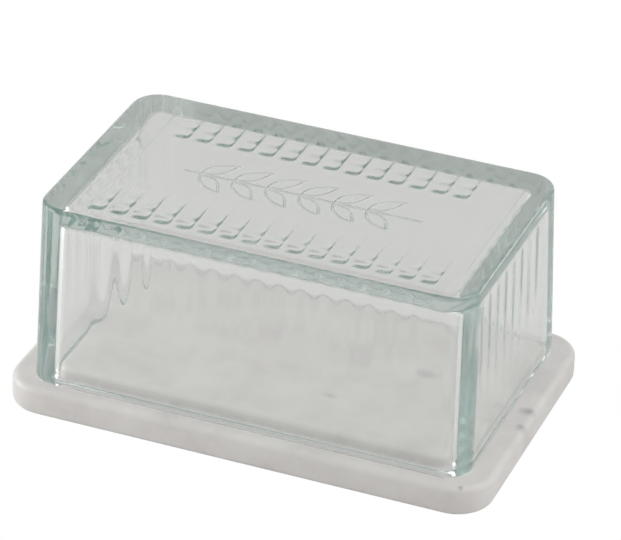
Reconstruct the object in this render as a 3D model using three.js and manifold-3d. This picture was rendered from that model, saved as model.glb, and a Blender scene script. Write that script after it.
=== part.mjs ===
// Butter dish: a ribbed pressed-glass cover that stands on a stepped marble base with four anti-slip pads.
// Units are millimetres and +Z is up. The origin is on the table, under the middle of the base.
// +X runs along the long side and -Y is the front.
import * as THREE from 'three';
import { mergeVertices } from 'three/addons/utils/BufferGeometryUtils.js';
import Module from 'manifold-3d';

const wasm = await Module();
wasm.setup();

// Driving dimensions
const BASE_LENGTH = 170;
const BASE_WIDTH = 105;
const BASE_THICKNESS = 10.5;
const BASE_CORNER = 12.8;
const BASE_EDGE = 2.2;
const COVER_HEIGHT = 65;
const FOOT_LENGTH = 154.4;
const FOOT_WIDTH = 96.2;
const CROWN_LENGTH = 151.4;
const CROWN_WIDTH = 88.4;
const COVER_CORNER = 9.6;
const WALL = 7.3;
const CEILING = 8;
const RIB_PITCH = 7.7;

// Base: the step fills the cover's mouth with a little play, so the cover can't slide off
const STEP_HEIGHT = 3.8;
const STEP_PLAY_X = 0.9;
const STEP_PLAY_Y = 1.8;
const STEP_CORNER = 4;
const STEP_EDGE = 2;

// Pads under the base
const PAD_RADIUS = 5;
const PAD_HEIGHT = 1.2;
const PAD_EDGE = 0.3;
const PAD_INSET = 17;

// Heights above the table
const BASE_Z = PAD_HEIGHT;
const RIM_Z = BASE_Z + BASE_THICKNESS;
const STEP_Z = RIM_Z + STEP_HEIGHT;
const CROWN_Z = RIM_Z + COVER_HEIGHT;
const CEILING_Z = CROWN_Z - CEILING;

// Cover details
const FOOT_EDGE = 0.6;
const CROWN_EDGE = 1.6;
const CAVITY_CORNER = 3.5;
const CEILING_FILLET = 1.5;

// Soft ribs on the inside of the walls. They fade out between two shares of the cavity's height, except
// on the back wall, where they reach nearly down to the foot
const LONG_WALL_RIBS = 15;
const SHORT_WALL_RIBS = 8;
const LONG_WALL_RELIEF = 0.36;
const SHORT_WALL_RELIEF = 0.22;
const FADE_LOW = 0.25;
const FADE_HIGH = 0.8;
const BACK_FADE_HIGH = 0.15;

// Finger-shaped ribs under the ceiling, in two rows. From its front end each rises as a steep nose, dips
// to a neck, rises to a low knee and falls off as a long tail. The back row's tails run into the back wall.
const RIB_WIDTH = 6.6;
const NOSE_LENGTH = 4;
const NOSE_HEIGHT = 0.46;
const NECK_LENGTH = 2.5;
const NECK_HEIGHT = 0.32;
const KNEE_LENGTH = 3;
const KNEE_HEIGHT = 0.47;
const TAIL_LENGTH = 12;
const TAIL_HEIGHT = 0.34;
const FRONT_RIBS = 16;
const FRONT_ROW_SHIFT = -1.3;
const FRONT_ROW_START = 3;
const BACK_RIBS = 14;
const BACK_ROW_SHIFT = -2.9;
const BACK_ROW_LENGTH = 15.5;
const BACK_NOSE_HEIGHT = 0.4;

// One soft ridge along each short side of the ceiling
const RIDGE_X = 63;
const RIDGE_WIDTH = 6;
const RIDGE_HEIGHT = 0.2;

// Engraved sprig between the two rows of ceiling ribs
const SPRIG_LENGTH = 84;
const SPRIG_Y = 2.5;
const SPRIG_PAIRS = 6;
const LEAF_LENGTH = 13;
const LEAF_WIDTH = 5;
const LEAF_TILT = THREE.MathUtils.degToRad(42);
const LINE_WIDTH = 0.7;
const LINE_DEPTH = 0.45;

const CORNER_STEPS = 6;
const EDGE_STEPS = 3;
const OVERSHOOT = 1;

// One corner of a rounded rectangle, counter-clockwise; the corner is numbered 0 to 3 from +X +Y
function cornerPoints(halfX, halfY, radius, z, corner) {
  const signX = corner === 0 || corner === 3 ? 1 : -1;
  const signY = corner < 2 ? 1 : -1;
  const points = [];
  for (let i = 0; i <= CORNER_STEPS; i++) {
    const angle = (corner + i / CORNER_STEPS) * Math.PI / 2;
    points.push(new THREE.Vector3(
      signX * (halfX - radius) + radius * Math.cos(angle),
      signY * (halfY - radius) + radius * Math.sin(angle),
      z,
    ));
  }
  return points;
}

function roundedRing(halfX, halfY, radius, z) {
  return [0, 1, 2, 3].flatMap((corner) => cornerPoints(halfX, halfY, radius, z, corner));
}

// Height of a rib's section at 0 to 1 across its width; steepest at the edges
function ribShape(across) {
  return 1 - Math.abs(2 * across - 1) ** 3;
}

// Points along one wall, running counter-clockwise, with soft waves that bulge into the cavity
function ribbedWall(count, relief, distance, angle, z) {
  const steps = 4;
  const points = [];
  for (let i = 0; i <= count * steps; i++) {
    const along = (i / steps - count / 2) * RIB_PITCH;
    const inward = relief * (1 - Math.cos(i / steps * 2 * Math.PI)) / 2;
    const point = new THREE.Vector3(distance - inward, along, z);
    points.push(point.applyAxisAngle(new THREE.Vector3(0, 0, 1), angle));
  }
  return points;
}

function ribbedRing(halfX, halfY, radius, z) {
  const height = (z - RIM_Z) / (CEILING_Z - RIM_Z);
  const fade = THREE.MathUtils.smoothstep(height, FADE_LOW, FADE_HIGH);
  const backFade = THREE.MathUtils.smoothstep(height, 0, BACK_FADE_HIGH);
  return [
    ...ribbedWall(SHORT_WALL_RIBS, fade * SHORT_WALL_RELIEF, halfX, 0, z),
    ...cornerPoints(halfX, halfY, radius, z, 0),
    ...ribbedWall(LONG_WALL_RIBS, backFade * LONG_WALL_RELIEF, halfY, Math.PI / 2, z),
    ...cornerPoints(halfX, halfY, radius, z, 1),
    ...ribbedWall(SHORT_WALL_RIBS, fade * SHORT_WALL_RELIEF, halfX, Math.PI, z),
    ...cornerPoints(halfX, halfY, radius, z, 2),
    ...ribbedWall(LONG_WALL_RIBS, fade * LONG_WALL_RELIEF, halfY, -Math.PI / 2, z),
    ...cornerPoints(halfX, halfY, radius, z, 3),
  ];
}

// Closed solid through a stack of rings with equal point counts, counter-clockwise seen from the far end;
// flatten gives the two coordinates in which the end caps are triangulated
function loft(rings, flatten = (point) => new THREE.Vector2(point.x, point.y)) {
  const count = rings[0].length;
  const indices = [];
  for (let ring = 0; ring + 1 < rings.length; ring++) {
    for (let i = 0; i < count; i++) {
      const a = ring * count + i;
      const b = ring * count + (i + 1) % count;
      indices.push(a, b, b + count, a, b + count, a + count);
    }
  }
  const far = (rings.length - 1) * count;
  const nearCap = THREE.ShapeUtils.triangulateShape(rings[0].map(flatten), []);
  const farCap = THREE.ShapeUtils.triangulateShape(rings[rings.length - 1].map(flatten), []);
  nearCap.forEach(([a, b, c]) => indices.push(a, c, b));
  farCap.forEach(([a, b, c]) => indices.push(far + a, far + b, far + c));
  const geometry = new THREE.BufferGeometry().setFromPoints(rings.flat());
  geometry.setIndex(indices);
  return geometry;
}

function toManifold(geometry) {
  const bare = geometry.clone();
  bare.deleteAttribute('normal');
  bare.deleteAttribute('uv');
  const merged = mergeVertices(bare, 1e-5);
  return new wasm.Manifold(new wasm.Mesh({
    numProp: 3,
    vertProperties: new Float32Array(merged.attributes.position.array),
    triVerts: new Uint32Array(merged.index.array),
  }));
}

function fromManifold(solid) {
  const mesh = solid.getMesh();
  const geometry = new THREE.BufferGeometry();
  geometry.setAttribute('position', new THREE.BufferAttribute(mesh.vertProperties, 3));
  geometry.setIndex(new THREE.BufferAttribute(mesh.triVerts, 1));
  return geometry;
}

// Rings of a rounded edge: a quarter turn from the side wall to a flat end, going up or down
function edgeRings(ringAt, endZ, radius, direction) {
  const rings = [];
  for (let i = 0; i <= EDGE_STEPS; i++) {
    const angle = i / EDGE_STEPS * Math.PI / 2;
    const z = endZ - direction * radius * (1 - Math.sin(angle));
    rings.push(ringAt(radius * (1 - Math.cos(angle)), z));
  }
  return direction > 0 ? rings : rings.reverse();
}

function marbleBase() {
  const halfX = BASE_LENGTH / 2;
  const halfY = BASE_WIDTH / 2;
  const stepHalfX = cavityHalf(FOOT_LENGTH, CROWN_LENGTH, RIM_Z) - STEP_PLAY_X;
  const stepHalfY = cavityHalf(FOOT_WIDTH, CROWN_WIDTH, RIM_Z) - STEP_PLAY_Y;
  const plate = (inset, z) => roundedRing(halfX - inset, halfY - inset, BASE_CORNER - inset, z);
  const step = (inset, z) => roundedRing(stepHalfX - inset, stepHalfY - inset, STEP_CORNER - inset, z);
  return loft([
    ...edgeRings(plate, BASE_Z, BASE_EDGE, -1),
    ...edgeRings(plate, RIM_Z, BASE_EDGE, 1),
    step(0, RIM_Z),
    ...edgeRings(step, STEP_Z, STEP_EDGE, 1),
  ]);
}

// Half of the cover's outer length or width at a height: the walls flare towards the foot
function outerHalf(foot, crown, z) {
  return THREE.MathUtils.mapLinear(z, RIM_Z, CROWN_Z, foot, crown) / 2;
}

function cavityHalf(foot, crown, z) {
  return outerHalf(foot, crown, z) - WALL;
}

function coverBody() {
  const ringAt = (inset, z) => roundedRing(
    outerHalf(FOOT_LENGTH, CROWN_LENGTH, z) - inset,
    outerHalf(FOOT_WIDTH, CROWN_WIDTH, z) - inset,
    COVER_CORNER - inset,
    z,
  );
  return toManifold(loft([
    ...edgeRings(ringAt, RIM_Z, FOOT_EDGE, -1),
    ...edgeRings(ringAt, CROWN_Z, CROWN_EDGE, 1),
  ]));
}

function coverCavity() {
  const ringAt = (inset, z) => ribbedRing(
    cavityHalf(FOOT_LENGTH, CROWN_LENGTH, z) - inset,
    cavityHalf(FOOT_WIDTH, CROWN_WIDTH, z) - inset,
    CAVITY_CORNER - inset,
    z,
  );
  const heights = [0.35, 0.65, 1].map((share) => THREE.MathUtils.lerp(FADE_LOW, FADE_HIGH, share));
  const fade = [0, BACK_FADE_HIGH, FADE_LOW, ...heights].map((height) => (
    ringAt(0, THREE.MathUtils.lerp(RIM_Z, CEILING_Z, height))
  ));
  return toManifold(loft([
    ringAt(0, RIM_Z - OVERSHOOT),
    ...fade,
    ...edgeRings(ringAt, CEILING_Z, CEILING_FILLET, 1),
  ]));
}

// Height of a finger-shaped rib at a distance from its front end
function ribHeight(distance, noseHeight) {
  const steps = [
    [NOSE_LENGTH, noseHeight],
    [NECK_LENGTH, NECK_HEIGHT],
    [KNEE_LENGTH, KNEE_HEIGHT],
    [KNEE_LENGTH, TAIL_HEIGHT],
    [TAIL_LENGTH, 0],
  ];
  let start = 0;
  let height = 0;
  let last = 0;
  for (const [length, high] of steps) {
    height += (high - last) * THREE.MathUtils.smoothstep(distance, start, start + length);
    start += length;
    last = high;
  }
  return height;
}

// A rib along Y under the ceiling, lofted through sections given as positions on Y and heights
function ceilingRib(x, width, stations) {
  const sections = stations.map(([y, height]) => {
    const points = [];
    for (let i = 0; i <= 6; i++) {
      const across = i / 6;
      points.push(new THREE.Vector3(x + (across - 0.5) * width, y, CEILING_Z - height * ribShape(across)));
    }
    points.push(new THREE.Vector3(x + width / 2, y, CEILING_Z + OVERSHOOT));
    points.push(new THREE.Vector3(x - width / 2, y, CEILING_Z + OVERSHOOT));
    return points;
  });
  return toManifold(loft(sections.reverse(), (point) => new THREE.Vector2(point.x, point.z)));
}

function ribRow(count, shift, frontY, length, noseHeight) {
  const knee = NOSE_LENGTH + NECK_LENGTH + KNEE_LENGTH;
  const nose = [0, 1, 2, 3].map((third) => third / 3 * NOSE_LENGTH);
  const body = [NOSE_LENGTH + NECK_LENGTH, knee, knee + KNEE_LENGTH];
  const tail = [(knee + KNEE_LENGTH + length) / 2, length];
  const stations = [...nose, ...body, ...tail].map((distance) => [
    frontY + distance,
    ribHeight(distance, noseHeight),
  ]);
  return Array.from({ length: count }, (_, i) => (
    ceilingRib(shift + (i - (count - 1) / 2) * RIB_PITCH, RIB_WIDTH, stations)
  ));
}

function ceilingRibs() {
  const edgeY = cavityHalf(FOOT_WIDTH, CROWN_WIDTH, CEILING_Z) - LONG_WALL_RELIEF;
  const frontLength = NOSE_LENGTH + NECK_LENGTH + 2 * KNEE_LENGTH + TAIL_LENGTH;
  const ridge = [-edgeY, edgeY].map((y) => [y, RIDGE_HEIGHT]);
  return wasm.Manifold.union([
    ...ribRow(FRONT_RIBS, FRONT_ROW_SHIFT, FRONT_ROW_START - edgeY, frontLength, NOSE_HEIGHT),
    ...ribRow(BACK_RIBS, BACK_ROW_SHIFT, edgeY - BACK_ROW_LENGTH, BACK_ROW_LENGTH, BACK_NOSE_HEIGHT),
    ...[-RIDGE_X, RIDGE_X].map((x) => ceilingRib(x, RIDGE_WIDTH, ridge)),
  ]);
}

// Almond outline along +X from the origin, as a shape or as the hole in one
function leafPath(path, length, width, startX) {
  path.moveTo(startX, 0);
  path.quadraticCurveTo(startX + length * 0.4, -width, startX + length, 0);
  path.quadraticCurveTo(startX + length * 0.4, width, startX, 0);
  return path;
}

function leafLine(x, y, angle) {
  const shape = leafPath(new THREE.Shape(), LEAF_LENGTH, LEAF_WIDTH, 0);
  const inner = LEAF_LENGTH - 4 * LINE_WIDTH;
  shape.holes.push(leafPath(new THREE.Path(), inner, LEAF_WIDTH - 2 * LINE_WIDTH, 2 * LINE_WIDTH));
  const extrusion = { depth: 2 * LINE_DEPTH, bevelEnabled: false, curveSegments: 5 };
  const geometry = new THREE.ExtrudeGeometry(shape, extrusion);
  geometry.rotateZ(angle);
  geometry.translate(x, y, CEILING_Z - LINE_DEPTH);
  return toManifold(geometry);
}

function stemLine() {
  const geometry = new THREE.BoxGeometry(SPRIG_LENGTH, LINE_WIDTH, 2 * LINE_DEPTH);
  geometry.translate(0, SPRIG_Y, CEILING_Z);
  return toManifold(geometry);
}

// A stem with pairs of open leaves, cut into the ceiling as fine lines
function sprigLines() {
  const lines = [stemLine()];
  const spacing = (SPRIG_LENGTH - LEAF_LENGTH) / SPRIG_PAIRS;
  for (let i = 0; i < SPRIG_PAIRS; i++) {
    const x = -SPRIG_LENGTH / 2 + (i + 0.5) * spacing;
    lines.push(leafLine(x, SPRIG_Y + LINE_WIDTH, LEAF_TILT));
    lines.push(leafLine(x, SPRIG_Y - LINE_WIDTH, -LEAF_TILT));
  }
  return wasm.Manifold.union(lines);
}

function glassCover() {
  const hollow = coverCavity().subtract(ceilingRibs()).add(sprigLines());
  return fromManifold(coverBody().subtract(hollow));
}

function antiSlipPad(x, y) {
  const profile = [
    new THREE.Vector2(0, 0),
    new THREE.Vector2(PAD_RADIUS - PAD_EDGE, 0),
    new THREE.Vector2(PAD_RADIUS, PAD_EDGE),
    new THREE.Vector2(PAD_RADIUS, PAD_HEIGHT),
    new THREE.Vector2(0, PAD_HEIGHT),
  ];
  const geometry = new THREE.LatheGeometry(profile, 32);
  geometry.rotateX(Math.PI / 2);
  geometry.translate(x, y, 0);
  return geometry;
}

function marbleMaterial() {
  return new THREE.MeshStandardMaterial({ color: 0xe4e1dd, roughness: 0.35, metalness: 0 });
}

function glassMaterial() {
  return new THREE.MeshStandardMaterial({ color: 0xcfe0da, roughness: 0.06, metalness: 0 });
}

function padMaterial() {
  return new THREE.MeshStandardMaterial({ color: 0xd9d9d4, roughness: 0.6, metalness: 0 });
}

function addPiece(group, name, geometry, material) {
  const mesh = new THREE.Mesh(geometry, material);
  mesh.name = name;
  group.add(mesh);
}

const butterDish = new THREE.Group();
butterDish.name = 'butter_dish';
addPiece(butterDish, 'marble_base', marbleBase(), marbleMaterial());
addPiece(butterDish, 'glass_cover', glassCover(), glassMaterial());
for (const [sideY, nameY] of [[-1, 'front'], [1, 'back']]) {
  for (const [sideX, nameX] of [[-1, 'left'], [1, 'right']]) {
    const x = sideX * (BASE_LENGTH / 2 - PAD_INSET);
    const y = sideY * (BASE_WIDTH / 2 - PAD_INSET);
    addPiece(butterDish, `pad_${nameY}_${nameX}`, antiSlipPad(x, y), padMaterial());
  }
}

export default butterDish;
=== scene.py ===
"""Butter dish: a ribbed pressed-glass cover on a stepped marble base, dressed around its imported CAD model.

All lengths are metres. +X runs along the long side, -Y is the front and +Z is up.
"""

import math

import bpy
import numpy as np
from mathutils import Matrix, Vector


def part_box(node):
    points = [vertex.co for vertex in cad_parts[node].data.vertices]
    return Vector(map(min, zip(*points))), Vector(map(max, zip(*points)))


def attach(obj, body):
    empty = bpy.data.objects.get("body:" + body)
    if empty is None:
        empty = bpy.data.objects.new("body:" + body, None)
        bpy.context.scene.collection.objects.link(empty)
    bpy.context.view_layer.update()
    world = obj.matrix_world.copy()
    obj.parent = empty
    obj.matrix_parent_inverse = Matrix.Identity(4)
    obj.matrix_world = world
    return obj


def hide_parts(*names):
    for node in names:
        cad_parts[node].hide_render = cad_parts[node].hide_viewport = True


MM = 0.001

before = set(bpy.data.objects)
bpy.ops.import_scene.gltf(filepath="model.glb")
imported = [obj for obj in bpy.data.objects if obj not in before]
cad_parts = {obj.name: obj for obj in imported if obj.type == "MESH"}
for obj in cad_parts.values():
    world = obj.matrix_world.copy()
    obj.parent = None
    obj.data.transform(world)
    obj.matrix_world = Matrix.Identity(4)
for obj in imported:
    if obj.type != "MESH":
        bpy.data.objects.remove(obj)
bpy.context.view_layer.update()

# ---------------------------------------------------------------- sizes, from the frame and the glass
cover_low, cover_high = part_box("glass_cover")
base_low, base_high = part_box("marble_base")

RIM_Z = cover_low.z
CROWN_Z = cover_high.z
FOOT_LIFT = 0.08 * MM  # keeps the glass and the stone from sharing a face
FOOT_Z = RIM_Z + FOOT_LIFT
STEP_Z = base_high.z
BASE_Z = base_low.z

FOOT_HALF = (cover_high.x, cover_high.y)
CROWN_HALF = (75.7 * MM, 44.2 * MM)
COVER_CORNER = 9.6 * MM
WALL = 7.3 * MM
CEILING_Z = CROWN_Z - 8 * MM
CAVITY_CORNER = 3.5 * MM
CEILING_FILLET = 1.5 * MM
FOOT_EDGE = 0.6 * MM
INNER_FOOT_EDGE = 0.3 * MM
CROWN_EDGE = 1.6 * MM
CROWN_MARGIN = 0.5 * MM  # ring inside the rounded edge, so that the flat top shades flat

RIB_PITCH = 7.7 * MM
LONG_WALL_RIBS = 15
SHORT_WALL_RIBS = 8
LONG_WALL_RELIEF = 0.36 * MM
SHORT_WALL_RELIEF = 0.22 * MM
FADE_LOW, FADE_HIGH = 0.25, 0.8
BACK_FADE_HIGH = 0.15

FRONT_RIBS = 16
FRONT_ROW_SHIFT = -1.3 * MM
FRONT_ROW_START = 3 * MM
BACK_RIBS = 14
BACK_ROW_SHIFT = -2.9 * MM
BACK_ROW_LENGTH = 15.5 * MM
RIB_WIDTH = 6.6 * MM
NOSE_LENGTH, NOSE_HEIGHT, BACK_NOSE_HEIGHT = 4 * MM, 0.46 * MM, 0.4 * MM
NECK_LENGTH, NECK_HEIGHT = 2.5 * MM, 0.32 * MM
KNEE_LENGTH, KNEE_HEIGHT = 3 * MM, 0.47 * MM
TAIL_LENGTH, TAIL_HEIGHT = 12 * MM, 0.34 * MM
RIDGE_X = 63 * MM
RIDGE_WIDTH = 6 * MM
RIDGE_HEIGHT = 0.2 * MM

SPRIG_LENGTH = 84 * MM
SPRIG_Y = 2.5 * MM
SPRIG_PAIRS = 6
LEAF_LENGTH = 13 * MM
LEAF_WIDTH = 5 * MM
LEAF_TILT = math.radians(42)
LINE_WIDTH = 0.7 * MM
LINE_DEPTH = 0.45 * MM

CORNER_STEPS = 10  # of the cover's outline
FINE_GRID = 0.25 * MM  # ceiling mesh under the sprig
COARSE_GRID = 0.45 * MM

BASE_CORNER = 12.8 * MM
BASE_EDGE = 2.2 * MM
STEP_CORNER = 4 * MM
STEP_EDGE = 2 * MM
STEP_PLAY = (0.9 * MM, 1.8 * MM)  # gap to the cavity along the length and across it
STEP_COVE = 0.4 * MM
BASE_MARGIN = 0.4 * MM

# grey marks in the marble: middle x and y, length and width
MARKS = (
    (45 * MM, 6 * MM, 12 * MM, 7 * MM),
    (82 * MM, 1 * MM, 7 * MM, 6 * MM),
    (83 * MM, -9 * MM, 5 * MM, 5 * MM),
    (21 * MM, -19 * MM, 7 * MM, 4 * MM),
    (77 * MM, -50 * MM, 2.4 * MM, 2.4 * MM),
)
MARK_Z = 12 * MM  # middle of every mark, near the top of the stone
MARK_DEPTH = 8 * MM

AIM_Z = 34 * MM  # height on the dish that the camera turns about
FLOOR_HALF = 3.0

# name, azimuth and elevation in degrees, distance and width in metres, power in watts
SOFTBOXES = (
    ("key", 60, 60, 1.2, 0.8, 2.2),
    ("back", 120, 50, 1.2, 0.8, 2.7),
    ("side", 95, 12, 0.8, 0.5, 0.5),
    ("fill", -70, 12, 0.36, 0.2, 0.5),
)


# ---------------------------------------------------------------- mesh helpers
def smooth_step(value):
    """Eases from 0 to 1 as the value does, and stays level outside that range."""
    value = np.clip(value, 0, 1)
    return value * value * (3 - 2 * value)


def outline(x_lines, y_lines, arc_steps):
    """Rounded rectangle, counter-clockwise from the -Y side, as (unit x, unit y, normal x, normal y).

    A unit of 1 is a corner's centre. x_lines and y_lines run from -1 to 1 along the straight sides.
    """
    points = []
    sides = (
        [(x, -1, 0, -1) for x in x_lines],
        [(1, y, 1, 0) for y in y_lines],
        [(x, 1, 0, 1) for x in x_lines[::-1]],
        [(-1, y, -1, 0) for y in y_lines[::-1]],
    )
    for turn, side in enumerate(sides):
        points.extend(side)
        start = (turn - 1) * math.pi / 2
        corner_x, corner_y = side[-1][:2]
        for step in range(1, arc_steps):
            angle = start + step / arc_steps * math.pi / 2
            points.append((corner_x, corner_y, math.cos(angle), math.sin(angle)))
    return np.array(points, float)


def ring(shape, half, corner, z, inward=0.0):
    """One ring of an outline at a height, with its points pushed inward by a number or an array."""
    reach = corner - inward
    x = shape[:, 0] * (half[0] - corner) + shape[:, 2] * reach
    y = shape[:, 1] * (half[1] - corner) + shape[:, 3] * reach
    return np.column_stack((x, y, np.broadcast_to(z, x.shape)))


def ring_faces(count, rings, first=0):
    """Quads that join each ring of count points to the next, from the vertex numbered first."""
    faces = []
    for row in range(rings - 1):
        start = first + row * count
        for i in range(count):
            j = (i + 1) % count
            faces.append((start + i, start + j, start + count + j, start + count + i))
    return faces


def new_piece(name, vertices, faces, body):
    """A smooth-shaded mesh that rides on a body."""
    mesh = bpy.data.meshes.new(name)
    mesh.from_pydata([tuple(v) for v in vertices], [], faces)
    mesh.polygons.foreach_set("use_smooth", np.ones(len(mesh.polygons), bool))
    mesh.update()
    piece = bpy.data.objects.new(name, mesh)
    bpy.context.scene.collection.objects.link(piece)
    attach(piece, body)
    return piece


def edge_arc(steps):
    """(share of the radius in from the side, share below the end) along a quarter turn, side first."""
    angles = np.linspace(0, math.pi / 2, steps + 1)
    return list(zip(1 - np.cos(angles), 1 - np.sin(angles)))


# ---------------------------------------------------------------- the cover's relief
def rib_section(across):
    """Height of a rib's section at 0 for its crest to 1 for its edge, where it is steepest."""
    return 1 - np.clip(across, 0, 1) ** 3


def off_crest(along, count):
    """Distance from the nearest crest of a centred row of ribs."""
    index = np.clip(np.round(along / RIB_PITCH + (count - 1) / 2), 0, count - 1)
    return np.abs(along - (index - (count - 1) / 2) * RIB_PITCH)


def wall_relief(shape, half, corner):
    """How far the ribs of the four walls stand into the cavity at each point of a ring."""
    x = shape[:, 0] * (half[0] - corner)
    y = shape[:, 1] * (half[1] - corner)
    long_side = np.abs(shape[:, 3]) == 1
    short_side = np.abs(shape[:, 2]) == 1
    relief = np.zeros(len(shape))
    relief[long_side] = LONG_WALL_RELIEF * wave_section(off_crest(x[long_side], LONG_WALL_RIBS))
    relief[short_side] = SHORT_WALL_RELIEF * wave_section(off_crest(y[short_side], SHORT_WALL_RIBS))
    return relief


def wall_fade(shape, z):
    """Share of the full relief at a height: the back wall's ribs run down nearly to the foot."""
    height = (z - RIM_Z) / (CEILING_Z - RIM_Z)
    short = smooth_step((height - FADE_LOW) / (FADE_HIGH - FADE_LOW))
    return np.where(shape[:, 3] == 1, smooth_step(height / BACK_FADE_HIGH), short)


def wave_section(offset):
    """Height of a soft wall rib: 1 at its crest, 0 half a pitch away and beyond."""
    return np.where(offset < RIB_PITCH / 2, 0.5 + 0.5 * np.cos(2 * math.pi * offset / RIB_PITCH), 0)


def rib_profile(distance, nose_height):
    """Height of a finger-shaped rib along its length: a steep nose, a dip, a knee and a falling tail."""
    steps = (
        (NOSE_LENGTH, nose_height),
        (NECK_LENGTH, NECK_HEIGHT),
        (KNEE_LENGTH, KNEE_HEIGHT),
        (KNEE_LENGTH, TAIL_HEIGHT),
        (TAIL_LENGTH, 0),
    )
    height = np.zeros_like(distance)
    start, low = 0, 0
    for length, high in steps:
        height += (high - low) * smooth_step((distance - start) / length)
        start += length
        low = high
    return height


def ceiling_relief(x, y, edge_y):
    """How far the ribs hang below the ceiling: a row in front, one behind and a ridge at each end."""
    front = rib_profile(y + edge_y - FRONT_ROW_START, NOSE_HEIGHT)
    front *= rib_section(off_crest(x - FRONT_ROW_SHIFT, FRONT_RIBS) / (RIB_WIDTH / 2))
    back = rib_profile(y - edge_y + BACK_ROW_LENGTH, BACK_NOSE_HEIGHT)
    back *= rib_section(off_crest(x - BACK_ROW_SHIFT, BACK_RIBS) / (RIB_WIDTH / 2))
    ridge = rib_section(np.abs(np.abs(x) - RIDGE_X) / (RIDGE_WIDTH / 2))
    return front + back + RIDGE_HEIGHT * ridge


def sprig_lines():
    """The engraved sprig as straight pieces: a stem and pairs of open almond leaves."""
    pieces = [((-SPRIG_LENGTH / 2, SPRIG_Y), (SPRIG_LENGTH / 2, SPRIG_Y))]
    spacing = (SPRIG_LENGTH - LEAF_LENGTH) / SPRIG_PAIRS
    share = np.linspace(0, 1, 13)
    along = 2 * share * (1 - share) * 0.4 + share**2
    aside = share * (1 - share)
    for pair in range(SPRIG_PAIRS):
        root_x = -SPRIG_LENGTH / 2 + (pair + 0.5) * spacing
        for side in (-1, 1):
            cos, sin = math.cos(LEAF_TILT), side * math.sin(LEAF_TILT)
            for bulge in (-1, 1):
                u = along * LEAF_LENGTH
                v = 2 * bulge * aside * LEAF_WIDTH
                x = root_x + u * cos - v * sin
                y = SPRIG_Y + side * LINE_WIDTH + u * sin + v * cos
                curve = np.column_stack((x, y))
                pieces.extend(zip(curve[:-1], curve[1:]))
    return pieces


def engraving_depth(x, y):
    """Depth of the sprig's rounded grooves at each point of the ceiling."""
    nearest = np.full(x.shape, 1.0)
    for start, end in sprig_lines():
        run_x, run_y = end[0] - start[0], end[1] - start[1]
        length_2 = run_x**2 + run_y**2
        share = np.clip(((x - start[0]) * run_x + (y - start[1]) * run_y) / length_2, 0, 1)
        gap = np.hypot(x - start[0] - share * run_x, y - start[1] - share * run_y)
        nearest = np.minimum(nearest, gap)
    across = np.clip(nearest / (0.75 * LINE_WIDTH), 0, 1)
    return LINE_DEPTH * (1 - across**2) ** 2


# ---------------------------------------------------------------- the glass cover
def outer_half(z):
    """Half length and half width outside at a height: the walls flare towards the foot."""
    share = (z - RIM_Z) / (CROWN_Z - RIM_Z)
    return [foot + (crown - foot) * share for foot, crown in zip(FOOT_HALF, CROWN_HALF)]


def cavity_half(z):
    """Half length and half width of the cavity at a height."""
    return [half - WALL for half in outer_half(z)]


def grid_lines(half, fine_low, fine_high, fine_step, coarse_step):
    """Line positions from -half to half, close together between fine_low and fine_high."""
    low = np.linspace(-half, fine_low, math.ceil((fine_low + half) / coarse_step), endpoint=False)
    fine_count = math.ceil((fine_high - fine_low) / fine_step)
    middle = np.linspace(fine_low, fine_high, fine_count, endpoint=False)
    high = np.linspace(fine_high, half, math.ceil((half - fine_high) / coarse_step) + 1)
    return np.concatenate((low, middle, high))


def grid_faces(columns, rows):
    """Quads of the ceiling's grid, facing down into the cavity."""
    faces = []
    for row in range(rows - 1):
        for column in range(columns - 1):
            a = row * columns + column
            faces.append((a, a + columns, a + columns + 1, a + 1))
    return faces


def cavity_rings(shape, flat_half, edge_y):
    """Rings from the edge of the ceiling's grid, over the fillet and down the walls to the foot."""
    rings = []
    # the rest of the flat ceiling, out to where its fillet starts
    band = CAVITY_CORNER - CEILING_FILLET
    for share in np.linspace(0, 1, 12)[1:]:
        corner = band * share
        half = [flat + corner for flat in flat_half]
        points = ring(shape, half, corner, CEILING_Z)
        points[:, 2] -= ceiling_relief(points[:, 0], points[:, 1], edge_y)
        rings.append(points)
    # the fillet, where the ceiling's ribs fade out and the walls' ribs fade in
    half = cavity_half(CEILING_Z)
    for inset, drop in edge_arc(6)[::-1][1:]:
        z = CEILING_Z - CEILING_FILLET * drop
        inward = CEILING_FILLET * inset + (1 - inset) * wall_relief(shape, half, CAVITY_CORNER)
        points = ring(shape, half, CAVITY_CORNER, z, inward)
        points[:, 2] -= inset * ceiling_relief(points[:, 0], points[:, 1], edge_y)
        rings.append(points)
    # the ribbed walls, down to the rounded inner edge of the foot
    for z in np.linspace(CEILING_Z - CEILING_FILLET, FOOT_Z + INNER_FOOT_EDGE, 40)[1:]:
        half = cavity_half(z)
        inward = wall_fade(shape, z) * wall_relief(shape, half, CAVITY_CORNER)
        rings.append(ring(shape, half, CAVITY_CORNER, z, inward))
    half = cavity_half(FOOT_Z)
    for inset, drop in edge_arc(4)[1:]:
        z = FOOT_Z + INNER_FOOT_EDGE * drop
        rings.append(ring(shape, half, CAVITY_CORNER, z, -INNER_FOOT_EDGE * inset))
    return rings


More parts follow.
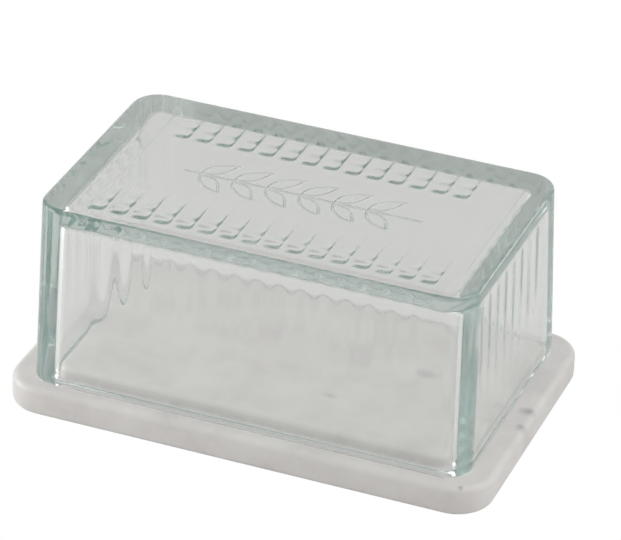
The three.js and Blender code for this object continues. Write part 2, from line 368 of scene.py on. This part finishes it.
def outside_rings(shape):
    """Rings from the foot's outer edge, up the smooth walls and over the crown's edge."""
    rings = []
    for inset, drop in edge_arc(4)[::-1]:
        z = FOOT_Z + FOOT_EDGE * drop
        rings.append(ring(shape, outer_half(z), COVER_CORNER, z, FOOT_EDGE * inset))
    for z in np.linspace(FOOT_Z + FOOT_EDGE, CROWN_Z - CROWN_EDGE, 12)[1:-1]:
        rings.append(ring(shape, outer_half(z), COVER_CORNER, z))
    for inset, drop in edge_arc(8):
        z = CROWN_Z - CROWN_EDGE * drop
        rings.append(ring(shape, outer_half(z), COVER_CORNER, z, CROWN_EDGE * inset))
    rings.append(ring(shape, outer_half(CROWN_Z), COVER_CORNER, CROWN_Z, CROWN_EDGE + CROWN_MARGIN))
    return rings


def cover_piece():
    """The cover as one closed mesh: the cavity from the ceiling's middle to the foot, then the outside."""
    flat_half = [half - CAVITY_CORNER for half in cavity_half(CEILING_Z)]
    edge_y = cavity_half(CEILING_Z)[1] - LONG_WALL_RELIEF
    reach = LEAF_LENGTH * math.sin(LEAF_TILT) + 2 * LINE_WIDTH
    x_lines = grid_lines(flat_half[0], -SPRIG_LENGTH / 2, SPRIG_LENGTH / 2, FINE_GRID, COARSE_GRID)
    y_lines = grid_lines(flat_half[1], SPRIG_Y - reach, SPRIG_Y + reach, FINE_GRID, COARSE_GRID)
    shape = outline(x_lines / flat_half[0], y_lines / flat_half[1], CORNER_STEPS)
    count = len(shape)

    grid_x, grid_y = np.meshgrid(x_lines, y_lines)
    grid_z = CEILING_Z - ceiling_relief(grid_x, grid_y, edge_y) + engraving_depth(grid_x, grid_y)
    grid = np.column_stack((grid_x.ravel(), grid_y.ravel(), grid_z.ravel()))
    rings = cavity_rings(shape, flat_half, edge_y) + outside_rings(shape)

    columns, rows = len(x_lines), len(y_lines)
    faces = grid_faces(columns, rows)
    first = columns * rows
    boundary = grid_boundary(columns, rows, CORNER_STEPS)
    for i in range(count):
        j = (i + 1) % count
        corners = [boundary[i], boundary[j], first + j, first + i]
        # at a corner of the grid two of the four are one point, which leaves a triangle
        faces.append(tuple(dict.fromkeys(corners)))
    faces.extend(ring_faces(count, len(rings), first))
    last = first + (len(rings) - 1) * count
    faces.append(tuple(range(last, last + count)))

    piece = new_piece("cover_glass", np.vstack([grid] + rings), faces, "cover")
    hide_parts("glass_cover")
    piece.data.materials.append(glass_material())


def grid_boundary(columns, rows, arc_steps):
    """Index of the grid point that each point of the outline grows from; a corner's arc has one."""
    bottom = list(range(columns))
    right = [row * columns + columns - 1 for row in range(rows)]
    top = [(rows - 1) * columns + column for column in range(columns)][::-1]
    left = [row * columns for row in range(rows)][::-1]
    indices = []
    for side in (bottom, right, top, left):
        indices.extend(side)
        indices.extend([side[-1]] * (arc_steps - 1))
    return indices


# ---------------------------------------------------------------- the marble base
def marble_piece():
    """The base as one closed mesh: a rounded slab with the raised step that fills the cover's mouth."""
    half = (base_high.x, base_high.y)
    foot_cavity = cavity_half(RIM_Z)
    step_half = [side - play for side, play in zip(foot_cavity, STEP_PLAY)]
    sides = np.linspace(-1, 1, 40)
    shape = outline(sides, sides, 16)
    rings = []
    for inset, drop in edge_arc(8)[::-1]:
        rings.append(ring(shape, half, BASE_CORNER, BASE_Z + BASE_EDGE * drop, BASE_EDGE * inset))
    for inset, drop in edge_arc(8):
        rings.append(ring(shape, half, BASE_CORNER, RIM_Z - BASE_EDGE * drop, BASE_EDGE * inset))
    rings.append(ring(shape, half, BASE_CORNER, RIM_Z, BASE_EDGE + BASE_MARGIN))
    # the hollow corner where the step meets the rim
    rings.append(ring(shape, step_half, STEP_CORNER, RIM_Z, -STEP_COVE))
    rings.append(ring(shape, step_half, STEP_CORNER, RIM_Z + STEP_COVE / 4, -STEP_COVE / 4))
    rings.append(ring(shape, step_half, STEP_CORNER, RIM_Z + STEP_COVE))
    for inset, drop in edge_arc(8):
        rings.append(ring(shape, step_half, STEP_CORNER, STEP_Z - STEP_EDGE * drop, STEP_EDGE * inset))
    rings.append(ring(shape, step_half, STEP_CORNER, STEP_Z, STEP_EDGE + BASE_MARGIN))
    count = len(shape)
    faces = ring_faces(count, len(rings))
    faces.append(tuple(range(count))[::-1])
    last = (len(rings) - 1) * count
    faces.append(tuple(range(last, last + count)))
    piece = new_piece("base_marble", np.vstack(rings), faces, "base")
    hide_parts("marble_base")
    piece.data.materials.append(marble_material())


# ---------------------------------------------------------------- materials
def new_material(name):
    material = bpy.data.materials.new(name)
    material.use_nodes = True
    nodes = material.node_tree.nodes
    return material, nodes, material.node_tree.links, nodes["Principled BSDF"]


def noise(nodes, links, vector, scale, detail=3.0, roughness=0.5):
    node = nodes.new("ShaderNodeTexNoise")
    node.inputs["Scale"].default_value = scale
    node.inputs["Detail"].default_value = detail
    node.inputs["Roughness"].default_value = roughness
    links.new(vector, node.inputs["Vector"])
    return node.outputs["Fac"]


def ramp(nodes, links, fac, stops):
    node = nodes.new("ShaderNodeValToRGB")
    while len(node.color_ramp.elements) < len(stops):
        node.color_ramp.elements.new(0.5)
    for element, (position, colour) in zip(node.color_ramp.elements, stops):
        element.position = position
        element.color = (*colour, 1)
    links.new(fac, node.inputs["Fac"])
    return node.outputs["Color"]


def bump(nodes, links, height, distance, strength):
    node = nodes.new("ShaderNodeBump")
    node.inputs["Distance"].default_value = distance
    node.inputs["Strength"].default_value = strength
    links.new(height, node.inputs["Height"])
    return node.outputs["Normal"]


def combine(nodes, links, operation, first, second):
    """A maths node over two values."""
    node = nodes.new("ShaderNodeMath")
    node.operation = operation
    links.new(first, node.inputs[0])
    links.new(second, node.inputs[1])
    return node.outputs[0]


def mixed_surface(nodes, links, factor, first, second):
    """Make the material's surface the first shader where the factor is 0, and the second where it is 1."""
    mix = nodes.new("ShaderNodeMixShader")
    links.new(factor, mix.inputs["Fac"])
    links.new(first, mix.inputs[1])
    links.new(second, mix.inputs[2])
    links.new(mix.outputs["Shader"], nodes["Material Output"].inputs["Surface"])


def glass_material():
    """Thick pressed glass: clear, with a green cast that grows with depth and a faint waviness.

    Shadow rays and diffuse rays pass straight through it, or the marble under it would come out
    almost black.
    """
    material, nodes, links, shader = new_material("pressed_glass")
    shader.inputs["Base Color"].default_value = (1, 1, 1, 1)
    shader.inputs["Transmission Weight"].default_value = 1.0
    shader.inputs["IOR"].default_value = 1.52
    coords = nodes.new("ShaderNodeTexCoord").outputs["Object"]
    wave = noise(nodes, links, coords, 90, 2.0)
    links.new(bump(nodes, links, wave, 0.25 * MM, 0.12), shader.inputs["Normal"])
    smear = noise(nodes, links, coords, 25, 2.0)
    unevenness = ramp(nodes, links, smear, [(0.3, (0.04,) * 3), (0.8, (0.11,) * 3)])
    links.new(unevenness, shader.inputs["Roughness"])
    path = nodes.new("ShaderNodeLightPath").outputs
    passes = combine(nodes, links, "MAXIMUM", path["Is Shadow Ray"], path["Is Diffuse Ray"])
    clear = nodes.new("ShaderNodeBsdfTransparent")
    mixed_surface(nodes, links, passes, shader.outputs["BSDF"], clear.outputs["BSDF"])
    absorption = nodes.new("ShaderNodeVolumeAbsorption")
    absorption.inputs["Color"].default_value = (0.64, 0.755, 0.725, 1)
    absorption.inputs["Density"].default_value = 11
    links.new(absorption.outputs["Volume"], nodes["Material Output"].inputs["Volume"])
    return material


def marble_mark(nodes, links, coords, x, y, length, width):
    """A soft grey mark in the stone, 1 at its middle, with a ragged outline."""
    place = nodes.new("ShaderNodeMapping")
    place.vector_type = "TEXTURE"
    place.inputs["Location"].default_value = (x, y, MARK_Z)
    place.inputs["Scale"].default_value = (length / 2, width / 2, MARK_DEPTH)
    links.new(coords, place.inputs["Vector"])
    blob = nodes.new("ShaderNodeTexGradient")
    blob.gradient_type = "SPHERICAL"
    links.new(place.outputs["Vector"], blob.inputs["Vector"])
    ragged = noise(nodes, links, coords, 350, 4.0, 0.7)
    return combine(nodes, links, "MULTIPLY", blob.outputs["Fac"], ragged)


def marble_material():
    """Honed white marble: cloudy warm greys, a few soft grey marks and a fine tooth."""
    material, nodes, links, shader = new_material("marble")
    coords = nodes.new("ShaderNodeTexCoord").outputs["Object"]
    clouds = noise(nodes, links, coords, 60, 5.0, 0.65)
    stops = [(0.3, (0.63, 0.61, 0.598)), (0.5, (0.695, 0.675, 0.66)), (0.7, (0.735, 0.72, 0.70))]
    colour = ramp(nodes, links, clouds, stops)
    for x, y, length, width in MARKS:
        mark = marble_mark(nodes, links, coords, x, y, length, width)
        darker = nodes.new("ShaderNodeMix")
        darker.data_type = "RGBA"
        links.new(mark, darker.inputs["Factor"])
        links.new(colour, darker.inputs["A"])
        darker.inputs["B"].default_value = (0.15, 0.15, 0.17, 1)
        colour = darker.outputs["Result"]
    links.new(colour, shader.inputs["Base Color"])
    shader.inputs["Subsurface Weight"].default_value = 0.15
    shader.inputs["Subsurface Radius"].default_value = (1, 0.95, 0.9)
    shader.inputs["Subsurface Scale"].default_value = 3 * MM
    grain = noise(nodes, links, coords, 900, 3.0, 0.6)
    links.new(bump(nodes, links, grain, 0.02 * MM, 0.3), shader.inputs["Normal"])
    hone = ramp(nodes, links, grain, [(0.2, (0.32,) * 3), (0.8, (0.45,) * 3)])
    links.new(hone, shader.inputs["Roughness"])
    return material


def pad_material():
    """Soft milky silicone with a fine moulded tooth."""
    material, nodes, links, shader = new_material("pad_silicone")
    coords = nodes.new("ShaderNodeTexCoord").outputs["Object"]
    mottle = noise(nodes, links, coords, 400, 3.0)
    milk = ramp(nodes, links, mottle, [(0.3, (0.58, 0.58, 0.56)), (0.7, (0.66, 0.66, 0.63))])
    links.new(milk, shader.inputs["Base Color"])
    links.new(bump(nodes, links, mottle, 0.05 * MM, 0.4), shader.inputs["Normal"])
    tooth = ramp(nodes, links, mottle, [(0.3, (0.5,) * 3), (0.7, (0.65,) * 3)])
    links.new(tooth, shader.inputs["Roughness"])
    return material


def floor_material():
    """A pale sweep that looks white itself, and light grey in the glass and the marble around it."""
    material, nodes, links, shader = new_material("floor_white")
    shader.inputs["Base Color"].default_value = (0.82, 0.812, 0.80, 1)
    shader.inputs["Roughness"].default_value = 0.9
    white = nodes.new("ShaderNodeEmission")
    seen = nodes.new("ShaderNodeLightPath").outputs["Is Camera Ray"]
    mixed_surface(nodes, links, seen, shader.outputs["BSDF"], white.outputs["Emission"])
    return material


# ---------------------------------------------------------------- stage, light and camera
def floor_plane():
    """The floor, which belongs to the stage and not to the dish."""
    mesh = bpy.data.meshes.new("floor")
    corners = [(x * FLOOR_HALF, y * FLOOR_HALF, 0) for x, y in ((-1, -1), (1, -1), (1, 1), (-1, 1))]
    mesh.from_pydata(corners, [], [(0, 1, 2, 3)])
    floor = bpy.data.objects.new("floor", mesh)
    bpy.context.scene.collection.objects.link(floor)
    floor.data.materials.append(floor_material())


def world_light(strength):
    """A pale studio: bright at the horizon and overhead, dimmer in between, where the lamps hang."""
    world = bpy.data.worlds.new("studio")
    bpy.context.scene.world = world
    world.use_nodes = True
    nodes, links = world.node_tree.nodes, world.node_tree.links
    split = nodes.new("ShaderNodeSeparateXYZ")
    links.new(nodes.new("ShaderNodeTexCoord").outputs["Generated"], split.inputs["Vector"])
    bright = (1, 0.996, 0.99)
    dim = (0.67, 0.667, 0.66)
    stops = [(0.2, bright), (0.38, dim), (0.75, dim), (0.95, bright)]
    colour = ramp(nodes, links, split.outputs["Z"], stops)
    links.new(colour, nodes["Background"].inputs["Color"])
    nodes["Background"].inputs["Strength"].default_value = strength


def light_paths():
    """Light runs down inside the walls of the glass by many inner reflections, so paths are long."""
    cycles = bpy.context.scene.cycles
    cycles.max_bounces = 40
    cycles.glossy_bounces = 32
    cycles.transmission_bounces = 32


def softbox(name, azimuth, elevation, distance, size, power):
    """A square light at a compass direction round the dish, aimed at its middle.

    Azimuth 0 is the front.
    """
    a, e = math.radians(azimuth), math.radians(elevation)
    light = bpy.data.lights.new(name, "AREA")
    light.size = size
    light.energy = power
    lamp = bpy.data.objects.new(name, light)
    back = Vector((math.sin(a) * math.cos(e), -math.cos(a) * math.cos(e), math.sin(e)))
    lamp.location = back * distance
    lamp.rotation_mode = "QUATERNION"
    lamp.rotation_quaternion = back.to_track_quat("Z", "Y")
    bpy.context.scene.collection.objects.link(lamp)


def camera(azimuth, elevation, roll, distance, lens, aim_right, aim_up):
    """A camera aimed beside the dish's middle by aim_right and aim_up, and rolled about its own axis."""
    a, e, r = (math.radians(v) for v in (azimuth, elevation, roll))
    back = Vector((math.sin(a) * math.cos(e), -math.cos(a) * math.cos(e), math.sin(e)))
    level = Vector((math.cos(a), math.sin(a), 0))
    right = level * math.cos(r) + back.cross(level) * math.sin(r)
    up = back.cross(right)
    data = bpy.data.cameras.new("camera")
    data.lens = lens
    data.sensor_width = 36
    data.clip_end = 20
    view = bpy.data.objects.new("camera", data)
    centre = Vector((0, 0, AIM_Z)) + right * aim_right + up * aim_up
    turn = Matrix((right, up, back)).transposed().to_4x4()
    view.matrix_world = Matrix.Translation(centre + back * distance) @ turn
    bpy.context.scene.collection.objects.link(view)
    bpy.context.scene.camera = view


camera(
    azimuth=21.117,
    elevation=30.733,
    roll=1.517,
    distance=1.2771,
    lens=222.15,
    aim_right=4.39 * MM,
    aim_up=10.86 * MM,
)
light_paths()
world_light(0.7)
for settings in SOFTBOXES:
    softbox(*settings)
floor_plane()
cover_piece()
marble_piece()
silicone = pad_material()
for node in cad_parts:
    if node.startswith("pad_"):
        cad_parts[node].data.materials.clear()
        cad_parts[node].data.materials.append(silicone)
bpy.context.scene.view_settings.view_transform = "Standard"
